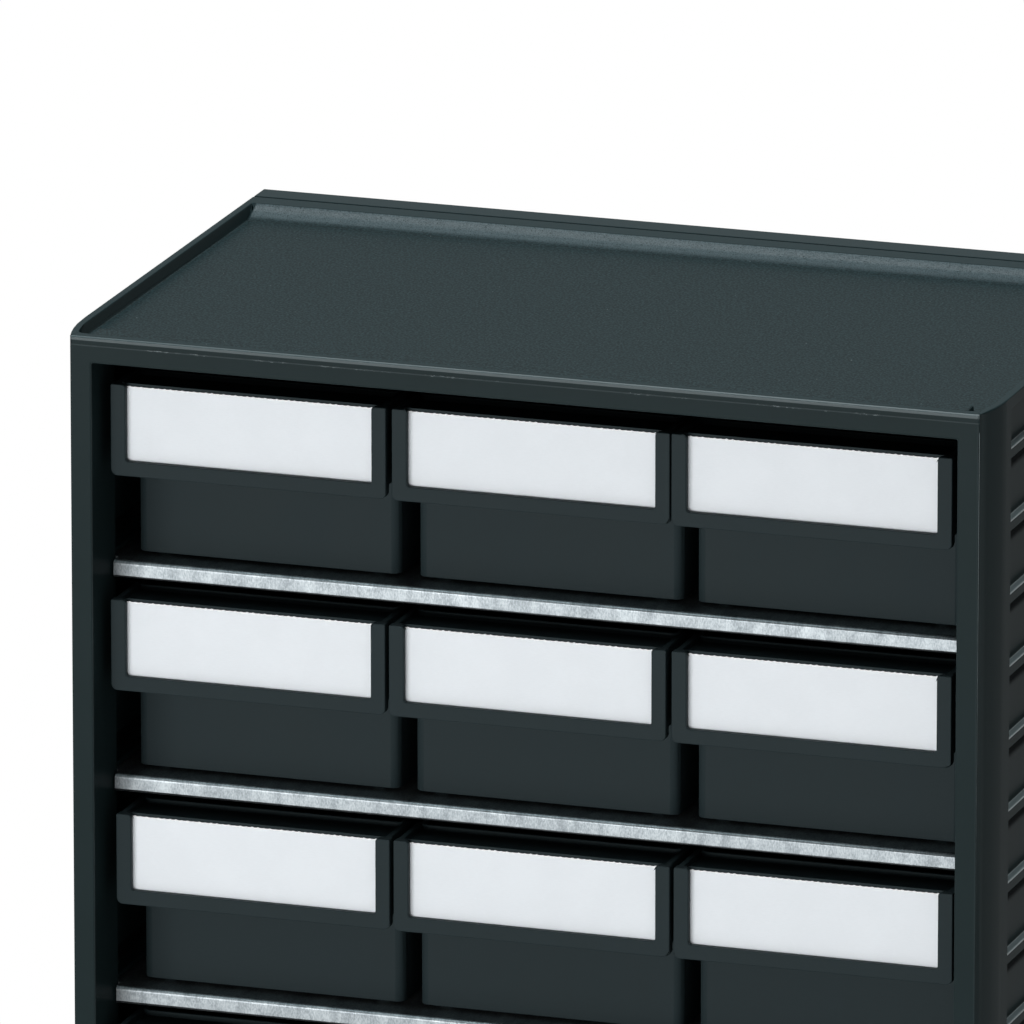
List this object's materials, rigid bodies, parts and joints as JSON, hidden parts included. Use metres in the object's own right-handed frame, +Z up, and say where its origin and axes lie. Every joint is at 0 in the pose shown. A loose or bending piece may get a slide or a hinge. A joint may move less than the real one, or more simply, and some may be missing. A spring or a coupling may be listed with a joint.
{
  "type": "parts bin cabinet",
  "caption": "Table-top parts cabinet: moulded shell with a stacking tray on top, steel shelves and pull-out bins with label cards and finger grips.",
  "frame": {"origin": "middle of the footprint, on the ground under the foot ring", "axes": "+Z up, the bins face -Y, +X to the right of someone who faces the bins"},
  "size_m": [0.31, 0.196, 0.303],
  "materials": {
    "shell_plastic": "fine spark-eroded grain",
    "bin_plastic": "satin moulded",
    "galvanised_steel": "galvanised sheet",
    "card": "smooth white card"
  },
  "bodies": {
    "cabinet": {"cabinet_body": "shell_plastic", "rear_cover": "shell_plastic", "shelf_1": "galvanised_steel", "shelf_2": "galvanised_steel", "shelf_3": "galvanised_steel"},
    "drawer_row1_left": {"bin_row1_left": "bin_plastic", "label_card_row1_left": "card"},
    "drawer_row1_middle": {"bin_row1_middle": "bin_plastic", "label_card_row1_middle": "card"},
    "drawer_row1_right": {"bin_row1_right": "bin_plastic", "label_card_row1_right": "card"},
    "drawer_row2_left": {"bin_row2_left": "bin_plastic", "label_card_row2_left": "card"},
    "drawer_row2_middle": {"bin_row2_middle": "bin_plastic", "label_card_row2_middle": "card"},
    "drawer_row2_right": {"bin_row2_right": "bin_plastic", "label_card_row2_right": "card"},
    "drawer_row3_left": {"bin_row3_left": "bin_plastic", "label_card_row3_left": "card"},
    "drawer_row3_middle": {"bin_row3_middle": "bin_plastic", "label_card_row3_middle": "card"},
    "drawer_row3_right": {"bin_row3_right": "bin_plastic", "label_card_row3_right": "card"},
    "drawer_row4_left": {"bin_row4_left": "bin_plastic", "label_card_row4_left": "card"},
    "drawer_row4_middle": {"bin_row4_middle": "bin_plastic", "label_card_row4_middle": "card"},
    "drawer_row4_right": {"bin_row4_right": "bin_plastic", "label_card_row4_right": "card"}
  },
  "joints": [
    {"name": "slide_row1_left", "type": "slide", "parent": "cabinet", "child": "drawer_row1_left", "axis": [0, -1, 0], "range_m": [0, 0.121]},
    {"name": "slide_row1_middle", "type": "slide", "parent": "cabinet", "child": "drawer_row1_middle", "axis": [0, -1, 0], "range_m": [0, 0.121]},
    {"name": "slide_row1_right", "type": "slide", "parent": "cabinet", "child": "drawer_row1_right", "axis": [0, -1, 0], "range_m": [0, 0.121]},
    {"name": "slide_row2_left", "type": "slide", "parent": "cabinet", "child": "drawer_row2_left", "axis": [0, -1, 0], "range_m": [0, 0.121]},
    {"name": "slide_row2_middle", "type": "slide", "parent": "cabinet", "child": "drawer_row2_middle", "axis": [0, -1, 0], "range_m": [0, 0.121]},
    {"name": "slide_row2_right", "type": "slide", "parent": "cabinet", "child": "drawer_row2_right", "axis": [0, -1, 0], "range_m": [0, 0.121]},
    {"name": "slide_row3_left", "type": "slide", "parent": "cabinet", "child": "drawer_row3_left", "axis": [0, -1, 0], "range_m": [0, 0.121]},
    {"name": "slide_row3_middle", "type": "slide", "parent": "cabinet", "child": "drawer_row3_middle", "axis": [0, -1, 0], "range_m": [0, 0.121]},
    {"name": "slide_row3_right", "type": "slide", "parent": "cabinet", "child": "drawer_row3_right", "axis": [0, -1, 0], "range_m": [0, 0.121]},
    {"name": "slide_row4_left", "type": "slide", "parent": "cabinet", "child": "drawer_row4_left", "axis": [0, -1, 0], "range_m": [0, 0.121]},
    {"name": "slide_row4_middle", "type": "slide", "parent": "cabinet", "child": "drawer_row4_middle", "axis": [0, -1, 0], "range_m": [0, 0.121]},
    {"name": "slide_row4_right", "type": "slide", "parent": "cabinet", "child": "drawer_row4_right", "axis": [0, -1, 0], "range_m": [0, 0.121]}
  ]
}
